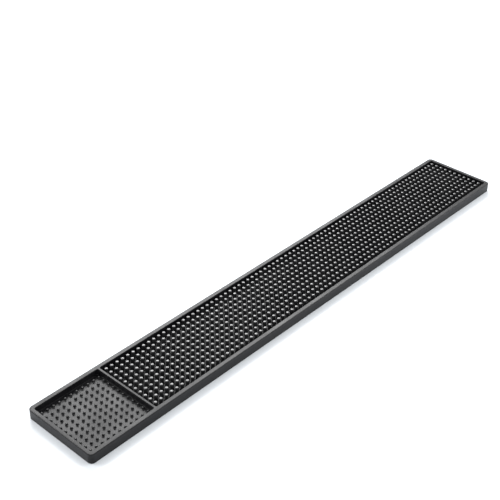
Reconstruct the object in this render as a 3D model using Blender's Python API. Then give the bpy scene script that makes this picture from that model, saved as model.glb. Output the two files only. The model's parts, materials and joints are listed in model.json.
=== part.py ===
"""Rubber bar service mat, 591 x 82.5 x 10 mm, modelled lying flat with its pegs up.

+X runs along the mat, away from the square well at its -X end, and +Z is up. The mat is one moulding that
bends, so it is built as a chain of short stiff segments. Each segment has a pegged floor and two rims. The
segments turn on the hinge lines listed in SEGMENTS, so that the mat folds in half, underside to underside.
"""

import math

import bmesh
import bpy

MM = 0.001

# The driving dimensions, in millimetres.
LENGTH = 591.0
WIDTH = 82.5
HEIGHT = 10.0
FLOOR = 2.5
WELL_FLOOR = 4.0
SIDE_RIM = 4.6
END_RIM = 4.0
CORNER_RADIUS = 4.0
RIM_CHAMFER = 0.5
PITCH = 6.35
ROWS = 11
GAP = 0.3

FIRST_PEG_X = -LENGTH / 2 + 79.7
PEG_BASE, PEG_TOP, PEG_TOP_Z = 3.3, 2.8, HEIGHT
NUB_COLUMNS = 11
FIRST_NUB_X = -LENGTH / 2 + 7.4
NUB_BASE, NUB_TOP, NUB_TOP_Z = 2.8, 2.2, WELL_FLOOR + 2.0
DIVIDER_X, DIVIDER = -LENGTH / 2 + 75.0, 2.4

INNER_Y = WIDTH / 2 - SIDE_RIM
PANEL_START_X = DIVIDER_X + DIVIDER / 2
CORNER_STEPS = 6

# Each segment: its name, how many columns of pegs it holds, and the height of the hinge line at its start.
# A hinge line under the mat lets it fold down. One at the rims' top lets it ease back up.
UNDERSIDE, RIM_TOP = 0.0, HEIGHT
SEGMENTS = (
    ("near_panel", 15, None),
    ("near_ease_1", 6, RIM_TOP),
    ("near_ease_2", 6, RIM_TOP),
    ("near_ease_3", 5, RIM_TOP),
    ("fold_link_1", 1, UNDERSIDE),
    ("fold_link_2", 1, UNDERSIDE),
    ("fold_link_3", 1, UNDERSIDE),
    ("fold_link_4", 1, UNDERSIDE),
    ("fold_link_5", 1, UNDERSIDE),
    ("far_ease_3", 5, UNDERSIDE),
    ("far_ease_2", 6, RIM_TOP),
    ("far_ease_1", 6, RIM_TOP),
    ("far_panel", 26, RIM_TOP),
)

RUBBER_COLOR = (0.018, 0.018, 0.019, 1.0)
RUBBER_ROUGHNESS = 0.45


def clear_scene():
    for obj in list(bpy.data.objects):
        bpy.data.objects.remove(obj, do_unlink=True)


def rubber(name):
    """Matt black moulded rubber, one material for each object."""
    material = bpy.data.materials.new(name)
    material.use_nodes = True
    shader = material.node_tree.nodes["Principled BSDF"]
    shader.inputs["Base Color"].default_value = RUBBER_COLOR
    shader.inputs["Roughness"].default_value = RUBBER_ROUGHNESS
    shader.inputs["Metallic"].default_value = 0.0
    material.diffuse_color = RUBBER_COLOR
    return material


def joint_empty(name, x, z, parent):
    """An empty on a hinge line, which carries everything beyond that line."""
    empty = bpy.data.objects.new(name, None)
    empty.empty_display_size = 5 * MM
    bpy.context.scene.collection.objects.link(empty)
    empty["pivot"] = (x, 0.0, z)
    parent_pivot = parent["pivot"] if parent else (0.0, 0.0, 0.0)
    empty.location = [(own - other) * MM for own, other in zip((x, 0.0, z), parent_pivot)]
    empty.parent = parent
    return empty


def add_object(name, mesh_in_mm, empty):
    """Turns a bmesh, in millimetres in the mat's frame, into an object held by its joint's empty."""
    bmesh.ops.recalc_face_normals(mesh_in_mm, faces=mesh_in_mm.faces)
    pivot = empty["pivot"]
    for vert in mesh_in_mm.verts:
        vert.co = [(place - origin) * MM for place, origin in zip(vert.co, pivot)]
    mesh = bpy.data.meshes.new(name)
    mesh_in_mm.to_mesh(mesh)
    mesh_in_mm.free()
    mesh.materials.append(rubber(name))
    obj = bpy.data.objects.new(name, mesh)
    obj.parent = empty
    bpy.context.scene.collection.objects.link(obj)
    return obj


def extruded(outline, travel):
    """A closed solid: a flat outline, and the same outline moved by travel."""
    solid = bmesh.new()
    start = solid.faces.new([solid.verts.new(point) for point in outline])
    made = bmesh.ops.extrude_face_region(solid, geom=[start], use_keep_orig=True)
    moved = [item for item in made["geom"] if isinstance(item, bmesh.types.BMVert)]
    bmesh.ops.translate(solid, vec=travel, verts=moved)
    return solid


def side_rim(x_start, x_end, side):
    """A length of the raised border, on the +Y side or the -Y side, with its two top edges eased."""
    inner, outer = INNER_Y, WIDTH / 2
    profile = [
        (inner, 0.0),
        (outer, 0.0),
        (outer, HEIGHT - RIM_CHAMFER),
        (outer - RIM_CHAMFER, HEIGHT),
        (inner + RIM_CHAMFER, HEIGHT),
        (inner, HEIGHT - RIM_CHAMFER),
    ]
    outline = [(x_start, side * y, z) for y, z in profile]
    return extruded(outline, (x_end - x_start, 0.0, 0.0))


def end_rim(direction):
    """The border across one end of the mat, with the mat's rounded corners."""
    outer_x, inner_x = direction * LENGTH / 2, direction * (LENGTH / 2 - END_RIM)
    centre_x = outer_x - direction * CORNER_RADIUS
    outline = [(inner_x, WIDTH / 2, 0.0), (inner_x, -WIDTH / 2, 0.0)]
    for side in (-1, 1):
        steps = range(1, CORNER_STEPS + 1) if side < 0 else range(CORNER_STEPS, 0, -1)
        for step in steps:
            angle = step / CORNER_STEPS * math.pi / 2
            reach = CORNER_RADIUS * math.sin(angle) * direction
            across = WIDTH / 2 - CORNER_RADIUS * (1 - math.cos(angle))
            outline.append((centre_x + reach, side * across, 0.0))
    return extruded(outline, (0.0, 0.0, HEIGHT))


def divider_rib():
    half = DIVIDER / 2
    width = INNER_Y - GAP
    outline = [
        (DIVIDER_X + x, y, 0.0)
        for x, y in ((-half, -width), (half, -width), (half, width), (-half, width))
    ]
    return extruded(outline, (0.0, 0.0, HEIGHT))


def pegged_floor(x_start, x_end, floor_z, peg_xs, base, top, top_z):
    """A slab of floor with a grid of tapered pegs standing on it, as one closed body.

    The slab's top is laid out in cells, one round each peg. A cell's peg has a base ring and a top face.
    """
    solid = bmesh.new()
    peg_ys = [(row - (ROWS - 1) / 2) * PITCH for row in range(ROWS)]
    edge_y = INNER_Y - GAP
    line_xs = [x_start] + [(a + b) / 2 for a, b in zip(peg_xs, peg_xs[1:])] + [x_end]
    line_ys = [-edge_y] + [(a + b) / 2 for a, b in zip(peg_ys, peg_ys[1:])] + [edge_y]
    grid = [[solid.verts.new((x, y, floor_z)) for y in line_ys] for x in line_xs]

    def ring(x, y, width, z):
        corners = ((-1, -1), (1, -1), (1, 1), (-1, 1))
        return [solid.verts.new((x + dx * width / 2, y + dy * width / 2, z)) for dx, dy in corners]

    for i, x in enumerate(peg_xs):
        for j, y in enumerate(peg_ys):
            cell = (grid[i][j], grid[i + 1][j], grid[i + 1][j + 1], grid[i][j + 1])
            foot = ring(x, y, base, floor_z)
            head = ring(x, y, top, top_z)
            for a, b in ((0, 1), (1, 2), (2, 3), (3, 0)):
                solid.faces.new((cell[a], cell[b], foot[b], foot[a]))
                solid.faces.new((foot[a], foot[b], head[b], head[a]))
            solid.faces.new(head)

    low = [solid.verts.new((x, y, 0.0)) for x, y in (
        (x_start, -edge_y), (x_end, -edge_y), (x_end, edge_y), (x_start, edge_y))]
    solid.faces.new(low)
    sides = (
        [column[0] for column in grid],
        list(grid[-1]),
        [column[-1] for column in reversed(grid)],
        list(reversed(grid[0])),
    )
    for number, top_edge in enumerate(sides):
        solid.faces.new([low[number], *top_edge, low[(number + 1) % 4]])
    return solid


def build_well(empty):
    """The square tray at the near end: low nubs on its floor, a rim on three sides and the divider rib."""
    nub_xs = [FIRST_NUB_X + column * PITCH for column in range(NUB_COLUMNS)]
    floor_start = -LENGTH / 2 + END_RIM + GAP
    floor_end = DIVIDER_X - DIVIDER / 2 - GAP
    well_floor = pegged_floor(floor_start, floor_end, WELL_FLOOR, nub_xs, NUB_BASE, NUB_TOP, NUB_TOP_Z)
    add_object("well_floor", well_floor, empty)
    add_object("near_end_rim", end_rim(-1), empty)
    add_object("well_rim_front", side_rim(floor_start, PANEL_START_X, -1), empty)
    add_object("well_rim_back", side_rim(floor_start, PANEL_START_X, 1), empty)
    add_object("divider_rib", divider_rib(), empty)


def build_segments():
    """Every segment of the chain, from the divider rib to the far end."""
    empty = joint_empty("mat_base", 0.0, 0.0, None)
    build_well(empty)
    column = 0
    x_start = PANEL_START_X + GAP
    for name, columns, hinge_z in SEGMENTS:
        if hinge_z is not None:
            hinge_x = x_start - GAP / 2
            empty = joint_empty(name + "_hinge", hinge_x, hinge_z, empty)
        peg_xs = [FIRST_PEG_X + (column + extra) * PITCH for extra in range(columns)]
        column += columns
        last = name == SEGMENTS[-1][0]
        x_end = LENGTH / 2 - END_RIM - GAP if last else peg_xs[-1] + PITCH / 2 - GAP / 2
        floor = pegged_floor(x_start, x_end, FLOOR, peg_xs, PEG_BASE, PEG_TOP, PEG_TOP_Z)
        add_object(name + "_floor", floor, empty)
        add_object(name + "_rim_front", side_rim(x_start, x_end, -1), empty)
        add_object(name + "_rim_back", side_rim(x_start, x_end, 1), empty)
        x_start = x_end + GAP
    add_object("far_end_rim", end_rim(1), empty)


clear_scene()
build_segments()
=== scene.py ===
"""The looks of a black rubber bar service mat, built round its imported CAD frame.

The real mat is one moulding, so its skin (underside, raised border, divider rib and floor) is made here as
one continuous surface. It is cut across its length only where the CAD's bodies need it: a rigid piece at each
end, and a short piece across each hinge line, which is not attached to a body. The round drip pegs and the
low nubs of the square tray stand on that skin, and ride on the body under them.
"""

import json
import math

import bmesh
import bpy
import numpy as np
from mathutils import Matrix, Vector

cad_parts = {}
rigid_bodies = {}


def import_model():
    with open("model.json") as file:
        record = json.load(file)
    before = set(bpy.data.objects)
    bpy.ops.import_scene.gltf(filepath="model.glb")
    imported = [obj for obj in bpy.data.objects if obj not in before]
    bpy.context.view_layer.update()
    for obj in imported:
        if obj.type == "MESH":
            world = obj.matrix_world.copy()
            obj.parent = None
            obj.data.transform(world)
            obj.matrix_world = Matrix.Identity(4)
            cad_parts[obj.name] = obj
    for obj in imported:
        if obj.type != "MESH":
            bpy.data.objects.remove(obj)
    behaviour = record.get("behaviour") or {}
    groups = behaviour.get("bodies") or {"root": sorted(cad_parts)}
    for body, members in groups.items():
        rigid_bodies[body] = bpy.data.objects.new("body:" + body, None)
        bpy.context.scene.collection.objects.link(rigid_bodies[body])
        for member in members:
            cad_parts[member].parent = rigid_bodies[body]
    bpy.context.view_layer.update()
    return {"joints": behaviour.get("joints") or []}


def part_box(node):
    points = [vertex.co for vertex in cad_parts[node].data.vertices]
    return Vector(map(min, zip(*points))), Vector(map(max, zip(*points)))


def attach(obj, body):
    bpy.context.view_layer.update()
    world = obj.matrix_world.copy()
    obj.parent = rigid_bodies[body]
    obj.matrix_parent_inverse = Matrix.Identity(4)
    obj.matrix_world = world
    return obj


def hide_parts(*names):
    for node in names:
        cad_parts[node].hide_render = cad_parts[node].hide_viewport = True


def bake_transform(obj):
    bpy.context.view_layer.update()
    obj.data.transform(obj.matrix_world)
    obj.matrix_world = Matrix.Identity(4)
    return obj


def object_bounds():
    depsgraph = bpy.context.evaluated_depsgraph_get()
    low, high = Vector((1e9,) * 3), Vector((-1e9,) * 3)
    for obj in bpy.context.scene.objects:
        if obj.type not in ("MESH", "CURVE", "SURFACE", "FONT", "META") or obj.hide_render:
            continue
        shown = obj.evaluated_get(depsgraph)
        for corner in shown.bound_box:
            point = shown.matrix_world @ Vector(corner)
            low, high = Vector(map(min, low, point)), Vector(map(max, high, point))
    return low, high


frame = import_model()

MM = 0.001
HALF_LENGTH, HALF_WIDTH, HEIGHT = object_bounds()[1]

# The mat's plan, read from the CAD nodes.
CHAIN = [frame["joints"][0]["parent"]] + [joint["child"] for joint in frame["joints"]]
HINGE_X = [joint["pos_m"][0] for joint in frame["joints"]]
LOOP_HINGES = [joint["pos_m"][2] < HEIGHT / 2 for joint in frame["joints"]]
SIDE_RIM = HALF_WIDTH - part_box("near_panel_rim_back")[0].y
END_RIM = HALF_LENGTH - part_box("far_end_rim")[0].x
DIVIDER_NEAR, DIVIDER_FAR = (corner.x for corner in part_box("divider_rib"))
PITCH = 6.35 * MM
ROWS = 11
FIRST_PEG_X = -HALF_LENGTH + 79.7 * MM
PEG_COLUMNS = 80
FIRST_NUB_X = -HALF_LENGTH + 7.4 * MM
NUB_COLUMNS = 11
NUB_HEIGHT = 2.0 * MM
FLOOR = 2.5 * MM
WELL_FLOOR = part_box("well_floor")[1].z - NUB_HEIGHT
ROW_YS = [(row - (ROWS - 1) / 2) * PITCH for row in range(ROWS)]

# The pegs and nubs. Each one's radii are at its foot and at its head.
PEG_RADII = (2.05 * MM, 1.6 * MM)
NUB_RADII = (1.35 * MM, 1.1 * MM)
PEG_CROWN = 0.06 * MM
NUB_CROWN = 0.08 * MM
PEG_FLARE = 0.3 * MM
PEG_EDGE = 0.4 * MM
PEG_BURIED = 0.3 * MM
PEG_SIDES = 20
FLARE_STEPS = 3
HEAD_STEPS = 4
HEAD_FACES = (HEAD_STEPS + 1) * PEG_SIDES
PEG_LEAN = math.radians(0.5)
LEAN_SEED = 7

# Small radii of the moulding.
OUTER_CORNER = 4.5 * MM
POCKET_CORNER = 1.4 * MM
LEAST_CORNER = 0.25 * MM
FOOT_RADIUS = 0.4 * MM
OUTER_EDGE_RADIUS = 0.9 * MM
INNER_EDGE_RADIUS = 0.5 * MM
FLOOR_FILLET = 0.3 * MM
WALL_DRAFT = 0.12 * MM
ARC_STEPS = 5
CORNER_STEPS = 8

# Edges that turn by more than this stay sharp in the shading.
SKIN_SHARP = math.radians(40)
PEG_SHARP = math.radians(60)

# How far each side of a hinge line the skin has close sections. Neighbouring loop hinges are a pitch apart.
LOOP_REACH = PITCH / 2 - 0.05 * MM
EASE_REACH = 12 * MM
BEND_STEPS = 12

# How far beyond the first and last hinge lines the skin is cut.
END_MARGIN = 14 * MM


def arc(centre_in, centre_up, radius, start, end, steps=ARC_STEPS):
    """Points of an arc in a wall's section, from one angle to another, in degrees."""
    turns = [math.radians(start + (end - start) * step / steps) for step in range(steps + 1)]
    return [(centre_in + radius * math.cos(a), centre_up + radius * math.sin(a)) for a in turns]


def pocket_section(floor):
    """The section of a pocket's wall, from the rim's top down to the pocket's floor."""
    rim_edge = arc(-INNER_EDGE_RADIUS, HEIGHT - INNER_EDGE_RADIUS, INNER_EDGE_RADIUS, 90, 0)
    fillet = arc(WALL_DRAFT + FLOOR_FILLET, floor + FLOOR_FILLET, FLOOR_FILLET, 180, 270)
    return rim_edge + fillet


# A section is a list of (distance inwards from the wall's line, height).
OUTER_SECTION = arc(FOOT_RADIUS, FOOT_RADIUS, FOOT_RADIUS, 270, 180) + arc(
    OUTER_EDGE_RADIUS, HEIGHT - OUTER_EDGE_RADIUS, OUTER_EDGE_RADIUS, 180, 90
)
POCKET_SECTION = pocket_section(FLOOR)
WELL_SECTION = pocket_section(WELL_FLOOR)


def corner(x, y, radius, towards_x, towards_y, start_on_x):
    """A rounded corner at (x, y). The rest of the outline lies towards (towards_x, towards_y)."""
    centre = (x + towards_x * radius, y + towards_y * radius)
    points = []
    for step in range(CORNER_STEPS + 1):
        turn = step / CORNER_STEPS * math.pi / 2
        along, across = math.sin(turn), math.cos(turn)
        if not start_on_x:
            along, across = across, along
        points.append((centre[0] - towards_x * radius * along, centre[1] - towards_y * radius * across))
    return points


def open_path(x_end, x_split, half_width, radius):
    """A U in plan: along one side from x_split, round the end at x_end, and back along the other side."""
    inward = 1 if x_split > x_end else -1
    front = corner(x_end, -half_width, radius, inward, 1, True)
    back = corner(x_end, half_width, radius, inward, -1, False)
    return [(x_split, -half_width), *front, *back, (x_split, half_width)]


def closed_path(x_low, x_high, half_width, radius):
    """A rounded rectangle in plan."""
    return [
        *corner(x_low, -half_width, radius, 1, 1, True),
        *corner(x_low, half_width, radius, 1, -1, False),
        *corner(x_high, half_width, radius, -1, -1, True),
        *corner(x_high, -half_width, radius, -1, 1, False),
    ]


def bridge(mesh, rings, closed):
    """Joins each ring of vertices to the next one with quads."""
    for below, above in zip(rings, rings[1:]):
        count = len(below)
        for i in range(count if closed else count - 1):
            j = (i + 1) % count
            mesh.faces.new((below[i], below[j], above[j], above[i]))


def path_edges(mesh, ring, closed):
    """The edges along a ring of vertices, made where they are missing."""
    pairs = list(zip(ring, ring[1:])) + ([(ring[-1], ring[0])] if closed else [])
    return [mesh.edges.get(pair) or mesh.edges.new(pair) for pair in pairs]


def finish_skin(name, mesh, material):
    """Turns a bmesh into a smooth-shaded piece of skin."""
    bmesh.ops.recalc_face_normals(mesh, faces=mesh.faces)
    data = bpy.data.meshes.new(name)
    mesh.to_mesh(data)
    mesh.free()
    data.shade_smooth()
    data.set_sharp_from_angle(angle=SKIN_SHARP)
    data.materials.append(material)
    piece = bpy.data.objects.new(name, data)
    bpy.context.scene.collection.objects.link(piece)
    weighted = piece.modifiers.new("weighted_normals", "WEIGHTED_NORMAL")
    weighted.keep_sharp = True
    return piece


def end_skin(name, material, x_end, x_split, pocket_end, well=None):
    """One end of the mat as a closed solid: its border, its floor, and a square well if there is one."""
    mesh = bmesh.new()
    inward = 1 if x_split > x_end else -1

    def rings(section, make_path):
        return [[mesh.verts.new((x, y, z)) for x, y in make_path(inset)] for inset, z in section]

    outer = rings(
        OUTER_SECTION,
        lambda inset: open_path(x_end + inward * inset, x_split, HALF_WIDTH - inset, OUTER_CORNER - inset),
    )
    pocket = rings(
        POCKET_SECTION,
        lambda inset: open_path(
            pocket_end + inward * inset,
            x_split,
            HALF_WIDTH - SIDE_RIM - inset,
            max(POCKET_CORNER - inset, LEAST_CORNER),
        ),
    )
    bridge(mesh, outer, False)
    bridge(mesh, pocket, False)
    mesh.faces.new(outer[0])
    mesh.faces.new(pocket[-1])
    top = path_edges(mesh, outer[-1], False) + path_edges(mesh, pocket[0], False)
    top += [mesh.edges.new((outer[-1][side], pocket[0][side])) for side in (0, -1)]
    if well:
        tray = rings(
            WELL_SECTION,
            lambda inset: closed_path(
                well[0] + inset,
                well[1] - inset,
                HALF_WIDTH - SIDE_RIM - inset,
                max(POCKET_CORNER - inset, LEAST_CORNER),
            ),
        )
        bridge(mesh, tray, True)
        mesh.faces.new(tray[-1])
        top += path_edges(mesh, tray[0], True)
    bmesh.ops.triangle_fill(mesh, use_beauty=True, edges=top, normal=(0, 0, 1))
    front = [ring[0] for ring in outer + pocket]
    back = [ring[-1] for ring in outer + pocket]
    mesh.faces.new(front + back[::-1])
    return finish_skin(name, mesh, material)


def bend_skin(name, material, stations):
    """A stretch of the mat between two cuts, as a closed solid with a section at each station."""
    half = OUTER_SECTION + [(SIDE_RIM + inset, z) for inset, z in POCKET_SECTION]
    mesh = bmesh.new()
    loops = []
    for x in stations:
        front = [mesh.verts.new((x, -HALF_WIDTH + inset, z)) for inset, z in half]
        back = [mesh.verts.new((x, HALF_WIDTH - inset, z)) for inset, z in half]
        loops.append(front + back[::-1])
    bridge(mesh, loops, True)
    mesh.faces.new(loops[0])
    mesh.faces.new(loops[-1])
    return finish_skin(name, mesh, material)


def turned(profile):
    """Vertices and faces of a turned solid. The profile runs from its foot to the axis at its top."""
    sides = PEG_SIDES
    turns = np.arange(sides) * 2 * math.pi / sides
    rings = [
        np.column_stack((r * np.cos(turns), r * np.sin(turns), np.full(sides, z))) for r, z in profile[:-1]
    ]
    points = np.vstack(rings + [[(0.0, 0.0, profile[-1][1])]])
    faces = [list(range(sides - 1, -1, -1))]
    for level in range(len(rings) - 1):
        for side in range(sides):
            a, b = level * sides + side, level * sides + (side + 1) % sides
            faces.append([a, b, b + sides, a + sides])
    last, tip = (len(rings) - 1) * sides, len(points) - 1
    faces += [[last + side, last + (side + 1) % sides, tip] for side in range(sides)]
    return points, faces


def peg_profile(radii, height, crown):
    """A moulded peg: buried foot, flared base, tapered side, rounded edge and a slightly crowned top."""
    foot_radius, head_radius = radii
    flared = arc(foot_radius + PEG_FLARE, PEG_FLARE, PEG_FLARE, 270, 180, FLARE_STEPS)
    rounded = arc(head_radius - PEG_EDGE, height - crown - PEG_EDGE, PEG_EDGE, 0, 80, HEAD_STEPS)
    return [(foot_radius + PEG_FLARE, -PEG_BURIED), *flared, *rounded, (0.0, height)]


PEG = turned(peg_profile(PEG_RADII, HEIGHT - FLOOR, PEG_CROWN))
NUB = turned(peg_profile(NUB_RADII, NUB_HEIGHT, NUB_CROWN))


def stand_pegs(name, materials, column_xs, floor, template, rng):
    """All the pegs of one body in one mesh. Each leans and turns a little, as moulded rubber pegs do.

    The first material is for the sides of the pegs. The second is for their heads, which are the last faces
    of the template: the rounded edge and the top.
    """
    points, faces = template
    all_points, all_faces = [], []
    for x in column_xs:
        for y in ROW_YS:
            lean_x = Matrix.Rotation(rng.normal(0, PEG_LEAN), 3, "X")
            lean_y = Matrix.Rotation(rng.normal(0, PEG_LEAN), 3, "Y")
            turn = Matrix.Rotation(rng.uniform(0, math.pi), 3, "Z")
            placed = points @ np.array(lean_x @ lean_y @ turn).T + (x, y, floor)
            offset = len(all_points) * len(points)
            all_faces += [[offset + i for i in face] for face in faces]
            all_points.append(placed)
    data = bpy.data.meshes.new(name)
    data.from_pydata(np.vstack(all_points).tolist(), [], all_faces)
    data.shade_smooth()
    data.set_sharp_from_angle(angle=PEG_SHARP)
    for material in materials:
        data.materials.append(material)
    one_peg = [0] * (len(faces) - HEAD_FACES) + [1] * HEAD_FACES
    data.polygons.foreach_set("material_index", one_peg * len(all_points))
    piece = bpy.data.objects.new(name, data)
    bpy.context.scene.collection.objects.link(piece)
    return piece


# --- Materials ---------------------------------------------------------------------------------


# The darkest and lightest colour of each kind of surface, and the depth of its grain.
SKIN_COLORS = ((0.005, 0.005, 0.006, 1), (0.009, 0.009, 0.01, 1))
PEG_COLORS = ((0.006, 0.006, 0.007, 1), (0.01, 0.01, 0.011, 1))
SKIN_GRAIN = 0.03 * MM
PEG_GRAIN = 0.008 * MM

# Noise scales, in repeats a metre: blotches some 20 mm across, specks under a millimetre, and finer grain.
BLOTCH_SCALE = 45.0
SPECK_SCALE = 1400.0
GRAIN_SCALE = 2600.0
SPECK_SHARE = 0.08
GRAIN_STRENGTH = 0.35

# The span of the blotches' noise that goes from dark to light, and from smooth to dull.
MOTTLE_SPAN = (0.35, 0.65)
GLOSS_SPAN = (0.3, 0.7)


def noise(tree, coords, scale, detail, roughness):
    """A noise texture, as a value."""
    made = tree.nodes.new("ShaderNodeTexNoise")
    made.inputs["Scale"].default_value = scale
    made.inputs["Detail"].default_value = detail
    made.inputs["Roughness"].default_value = roughness
    tree.links.new(coords, made.inputs["Vector"])
    return made.outputs["Fac"]


def mapped(tree, value, from_low, from_high, to_low, to_high):
    """The value taken from one range to another, and kept within it."""
    made = tree.nodes.new("ShaderNodeMapRange")
    made.inputs["From Min"].default_value = from_low
    made.inputs["From Max"].default_value = from_high
    made.inputs["To Min"].default_value = to_low
    made.inputs["To Max"].default_value = to_high
    tree.links.new(value, made.inputs["Value"])
    return made.outputs["Result"]


def added(tree, base, extra, share):
    """The base plus a share of the extra."""
    made = tree.nodes.new("ShaderNodeMath")
    made.operation = "MULTIPLY_ADD"
    tree.links.new(extra, made.inputs[0])
    made.inputs[1].default_value = share
    tree.links.new(base, made.inputs[2])
    return made.outputs["Value"]


def mixed_color(tree, factor, first, second):
    """A colour between two constant ones."""
    made = tree.nodes.new("ShaderNodeMix")
    made.data_type = "RGBA"
    tree.links.new(factor, made.inputs["Factor"])
    made.inputs["A"].default_value = first
    made.inputs["B"].default_value = second
    return made.outputs["Result"]


def rubber(name, colors, smooth, dull, specular, grain):
    """Black moulded rubber: faint mottling, uneven gloss, and the fine grain of the mould.

    Its roughness runs from smooth to dull in patches. Specular is its specular level, and grain is the depth
    of its grain.
    """
    material = bpy.data.materials.new(name)
    material.use_nodes = True
    tree = material.node_tree
    shader = tree.nodes["Principled BSDF"]
    coords = tree.nodes.new("ShaderNodeTexCoord").outputs["Object"]
    blotches = noise(tree, coords, BLOTCH_SCALE, detail=3.0, roughness=0.6)
    specks = noise(tree, coords, SPECK_SCALE, detail=2.0, roughness=0.5)
    pits = noise(tree, coords, GRAIN_SCALE, detail=3.0, roughness=0.65)
    mottle = mapped(tree, blotches, *MOTTLE_SPAN, 0.0, 1.0)
    tree.links.new(mixed_color(tree, mottle, *colors), shader.inputs["Base Color"])
    patches = mapped(tree, blotches, *GLOSS_SPAN, smooth, dull)
    tree.links.new(added(tree, patches, specks, SPECK_SHARE), shader.inputs["Roughness"])
    shader.inputs["Specular IOR Level"].default_value = specular
    bump = tree.nodes.new("ShaderNodeBump")
    bump.inputs["Strength"].default_value = GRAIN_STRENGTH
    bump.inputs["Distance"].default_value = grain
    tree.links.new(pits, bump.inputs["Height"])
    tree.links.new(bump.outputs["Normal"], shader.inputs["Normal"])
    return material


def build_skin():
    """The underside, border, divider and floors, in pieces that meet at cuts between the hinge lines."""
    skin = rubber("rubber_skin", SKIN_COLORS, smooth=0.26, dull=0.36, specular=0.21, grain=SKIN_GRAIN)
    first_cut = HINGE_X[0] - END_MARGIN
    last_cut = HINGE_X[-1] + END_MARGIN
    cuts = [first_cut] + [(a + b) / 2 for a, b in zip(HINGE_X, HINGE_X[1:])] + [last_cut]

    well = (-HALF_LENGTH + END_RIM, DIVIDER_NEAR)
    near_end = end_skin("skin_near_end", skin, -HALF_LENGTH, first_cut, DIVIDER_FAR, well)
    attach(near_end, CHAIN[0])
    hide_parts("near_end_rim", "well_rim_front", "well_rim_back", "divider_rib")
    far_end = end_skin("skin_far_end", skin, HALF_LENGTH, last_cut, HALF_LENGTH - END_RIM)
    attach(far_end, CHAIN[-1])
    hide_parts("far_end_rim", CHAIN[-1] + "_rim_front", CHAIN[-1] + "_rim_back")

    for number, (x, loop) in enumerate(zip(HINGE_X, LOOP_HINGES)):
        reach = LOOP_REACH if loop else EASE_REACH
        bend = [x - reach + 2 * reach * step / BEND_STEPS for step in range(BEND_STEPS + 1)]
        piece = bend_skin(f"skin_bend_{number + 1:02d}", skin, [cuts[number], *bend, cuts[number + 1]])
        before, after = CHAIN[number], CHAIN[number + 1]
        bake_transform(piece)
        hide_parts(before + "_rim_front", before + "_rim_back")


def build_pegs():
    """The pegs of each body and the nubs of the tray. Glasses have polished their heads."""
    sides = rubber("rubber_peg_sides", PEG_COLORS, smooth=0.36, dull=0.46, specular=0.72, grain=PEG_GRAIN)
    peg_heads = rubber("rubber_peg_heads", PEG_COLORS, smooth=0.22, dull=0.28, specular=0.84, grain=PEG_GRAIN)
    nub_heads = rubber("rubber_nub_heads", PEG_COLORS, smooth=0.24, dull=0.3, specular=0.28, grain=PEG_GRAIN)
    rng = np.random.default_rng(LEAN_SEED)
    peg_xs = [FIRST_PEG_X + column * PITCH for column in range(PEG_COLUMNS)]
    limits = [DIVIDER_FAR, *HINGE_X, HALF_LENGTH]
    for body, low, high in zip(CHAIN, limits, limits[1:]):
        xs = [x for x in peg_xs if low < x < high]
        pegs = stand_pegs("pegs_" + body, (sides, peg_heads), xs, FLOOR, PEG, rng)
        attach(pegs, body)
        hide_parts(body + "_floor")
    nub_xs = [FIRST_NUB_X + column * PITCH for column in range(NUB_COLUMNS)]
    nubs = stand_pegs("tray_nubs", (sides, nub_heads), nub_xs, WELL_FLOOR, NUB, rng)
    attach(nubs, CHAIN[0])
    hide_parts("well_floor")


# --- Stage, light and camera --------------------------------------------------------------------


# The studio floor's half size in metres, and how far it lies below the mat's underside.
STAGE_REACH = 60.0
STAGE_DROP = 0.1 * MM

# The studio floor's glow grows from the first strength to the second between these distances from the mat.
GLOW_DISTANCES = (0.6, 3.0)
GLOW_STRENGTHS = (0.03, 0.45)

# The camera, fitted to the rows of pegs.
CAMERA_LENS = 76.43
CAMERA_PLACE = (-0.6588, -0.5442, 0.6268)
CAMERA_TARGET = (0.0185, 0.075, 0.0)
CAMERA_ROLL = math.radians(0.542)


def aimed(obj, location, target, roll=0.0):
    """Puts a light or the camera at a place, looking at a target."""
    view = Vector(target) - Vector(location)
    turn = view.to_track_quat("-Z", "Y").to_matrix() @ Matrix.Rotation(roll, 3, "Z")
    obj.matrix_world = Matrix.Translation(location) @ turn.to_4x4()
    bpy.context.scene.collection.objects.link(obj)


def softbox(name, location, width, height, power):
    """A rectangular light, in metres and watts, that looks at the middle of the mat."""
    light = bpy.data.lights.new(name, "AREA")
    light.shape = "RECTANGLE"
    light.size, light.size_y = width, height
    light.energy = power
    aimed(bpy.data.objects.new(name, light), location, (0, 0, 0))


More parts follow.
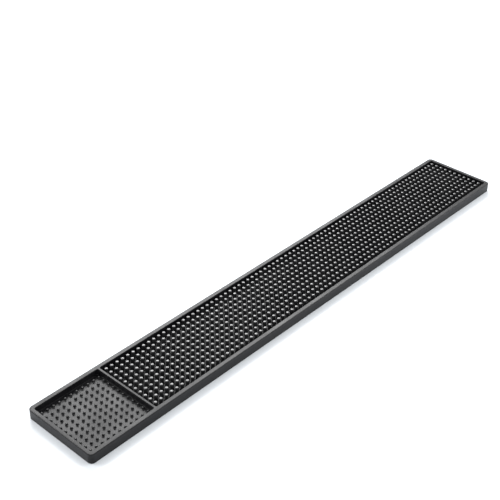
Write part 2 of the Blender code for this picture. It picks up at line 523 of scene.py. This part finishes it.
def build_stage():
    """A wide white studio floor, which catches the mat's soft shadow."""
    material = bpy.data.materials.new("studio_floor")
    material.use_nodes = True
    tree = material.node_tree
    shader = tree.nodes["Principled BSDF"]
    shader.inputs["Base Color"].default_value = (0.71, 0.735, 0.76, 1)
    shader.inputs["Roughness"].default_value = 0.5
    shader.inputs["Emission Color"].default_value = (0.88, 0.94, 1.0, 1)
    # Far from the lights the floor glows a little, so that it stays as white as the background.
    coords = tree.nodes.new("ShaderNodeTexCoord")
    distance = tree.nodes.new("ShaderNodeVectorMath")
    distance.operation = "LENGTH"
    tree.links.new(coords.outputs["Object"], distance.inputs[0])
    glow = mapped(tree, distance.outputs["Value"], *GLOW_DISTANCES, *GLOW_STRENGTHS)
    tree.links.new(glow, shader.inputs["Emission Strength"])
    data = bpy.data.meshes.new("studio_floor")
    corners = [(x * STAGE_REACH, y * STAGE_REACH, 0) for x, y in ((-1, -1), (1, -1), (1, 1), (-1, 1))]
    data.from_pydata(corners, [], [(0, 1, 2, 3)])
    data.materials.append(material)
    floor = bpy.data.objects.new("studio_floor", data)
    floor.location.z = -STAGE_DROP
    bpy.context.scene.collection.objects.link(floor)


def build_lights():
    """A white room, a large softbox behind the mat, and two smaller ones behind it and in front."""
    world = bpy.data.worlds.new("studio")
    world.use_nodes = True
    world.node_tree.nodes["Background"].inputs["Color"].default_value = (0.98, 0.99, 1.0, 1)
    world.node_tree.nodes["Background"].inputs["Strength"].default_value = 1.05
    bpy.context.scene.world = world
    softbox("back_softbox", (1.95, 2.3, 2.52), width=2.3, height=1.3, power=130)
    softbox("left_softbox", (-1.6, 2.2, 1.8), width=1.0, height=1.0, power=44)
    softbox("right_softbox", (1.8, -1.2, 1.3), width=1.2, height=1.2, power=30)
    bpy.context.scene.view_settings.view_transform = "Standard"


def build_camera():
    """The camera, above the tray's end of the mat and in front of it."""
    camera = bpy.data.cameras.new("camera")
    camera.lens = CAMERA_LENS
    camera.sensor_width = 36.0
    camera.clip_start = 0.01
    holder = bpy.data.objects.new("camera", camera)
    aimed(holder, CAMERA_PLACE, CAMERA_TARGET, CAMERA_ROLL)
    bpy.context.scene.camera = holder


build_skin()
build_pegs()
build_stage()
build_lights()
build_camera()
